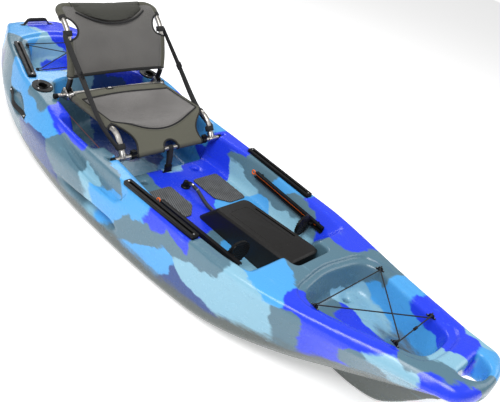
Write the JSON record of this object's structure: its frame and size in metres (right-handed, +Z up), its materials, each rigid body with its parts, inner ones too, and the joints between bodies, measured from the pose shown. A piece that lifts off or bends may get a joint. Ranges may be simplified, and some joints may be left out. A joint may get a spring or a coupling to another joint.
{
  "type": "sit-on-top fishing kayak",
  "caption": "Sit-on-top kayak with a framed folding seat, gear tracks, rod holders, sliding foot pedals, tankwells and a keel wheel.",
  "frame": {"origin": "bottom of the keel, halfway along and across the hull", "axes": "+X port, +Y toward the stern, +Z up; the bow points to -Y"},
  "size_m": [0.8574, 3.067, 0.7565],
  "materials": {
    "hull_plastic": "satin moulded",
    "black_plastic": "matt moulded",
    "aluminium": "satin tube",
    "steel": "satin cast",
    "mesh_cloth": "open mesh",
    "khaki_cloth": "coated weave",
    "webbing": "woven webbing",
    "cord": "braided elastic",
    "foam_mat": "grooved foam",
    "orange_plastic": "satin",
    "rubber": "matt",
    "red_cord": "braided elastic"
  },
  "bodies": {
    "hull": {"hull": "hull_plastic", "gear_track_bow_port": "black_plastic", "gear_track_bow_starboard": "black_plastic", "gear_track_stern_port": "black_plastic", "gear_track_stern_starboard": "black_plastic", "rod_holder_port": "black_plastic", "foot_rail_port": "black_plastic", "floor_mat_port": "foam_mat", "side_handle_port": "webbing", "bow_eye_fore_port": "black_plastic", "bow_eye_aft_port": "black_plastic", "stern_eye_fore_port": "black_plastic", "stern_eye_aft_port": "black_plastic", "rod_holder_starboard": "black_plastic", "foot_rail_starboard": "black_plastic", "floor_mat_starboard": "foam_mat", "side_handle_starboard": "webbing", "bow_eye_fore_starboard": "black_plastic", "bow_eye_aft_starboard": "black_plastic", "stern_eye_fore_starboard": "black_plastic", "stern_eye_aft_starboard": "black_plastic", "bow_bungee": "cord", "stern_bungee": "cord", "pod_hose": "rubber", "hose_fitting": "black_plastic", "hold_down_anchor": "black_plastic", "stern_handle": "rubber", "side_cord": "red_cord"},
    "seat": {"front_bar": "aluminium", "rear_bar": "aluminium", "seat_sling": "mesh_cloth", "seat_front_panel": "khaki_cloth", "hold_down_strap": "webbing", "hold_down_buckle": "black_plastic", "front_bar_cap_port": "black_plastic", "rear_bar_cap_port": "black_plastic", "seat_rail_port": "aluminium", "front_tee_port": "steel", "front_clamp_port": "black_plastic", "hinge_bracket_port": "steel", "back_strap_port": "webbing", "front_bar_cap_starboard": "black_plastic", "rear_bar_cap_starboard": "black_plastic", "seat_rail_starboard": "aluminium", "front_tee_starboard": "steel", "front_clamp_starboard": "black_plastic", "hinge_bracket_starboard": "steel", "back_strap_starboard": "webbing"},
    "backrest": {"backrest_frame": "aluminium", "backrest_sleeve": "mesh_cloth", "headrest_panel": "khaki_cloth", "strap_buckle_port": "black_plastic", "strap_buckle_starboard": "black_plastic"},
    "pod": {"pod_cover": "black_plastic"},
    "pedal_port": {"foot_pedal_port": "black_plastic"},
    "pedal_starboard": {"foot_pedal_starboard": "black_plastic"},
    "rod_port": {"twist_rod_port": "orange_plastic"},
    "rod_starboard": {"twist_rod_starboard": "orange_plastic"},
    "wheel": {"keel_wheel": "rubber"}
  },
  "joints": [
    {"name": "seat_lift", "type": "slide", "parent": "hull", "child": "seat", "axis": [0, 0, 1], "range_m": [0, 0.15]},
    {"name": "backrest_fold", "type": "hinge", "parent": "seat", "child": "backrest", "pos_m": [0, 0.585, 0.412], "axis": [1, 0, 0], "range_deg": [0, 55], "deforming": ["back_strap_port", "back_strap_starboard"]},
    {"name": "pod_lift", "type": "slide", "parent": "hull", "child": "pod", "axis": [0, 0, 1], "range_m": [0, 0.12]},
    {"name": "wheel_spin", "type": "hinge", "parent": "hull", "child": "wheel", "pos_m": [0, 1.33, 0.068], "axis": [1, 0, 0], "continuous": true},
    {"name": "pedal_slide_port", "type": "slide", "parent": "hull", "child": "pedal_port", "axis": [0.0673, 0.9977, 0.0112], "range_m": [-0.03, 0.3]},
    {"name": "rod_twist_port", "type": "hinge", "parent": "hull", "child": "rod_port", "pos_m": [0.24752, -0.63943, 0.289], "axis": [0.0673, 0.9977, 0.0112], "range_deg": [0, 90]},
    {"name": "pedal_slide_starboard", "type": "slide", "parent": "hull", "child": "pedal_starboard", "axis": [-0.0673, 0.9977, 0.0112], "range_m": [-0.03, 0.3]},
    {"name": "rod_twist_starboard", "type": "hinge", "parent": "hull", "child": "rod_starboard", "pos_m": [-0.24752, -0.63943, 0.289], "axis": [-0.0673, 0.9977, 0.0112], "range_deg": [0, 90]}
  ]
}
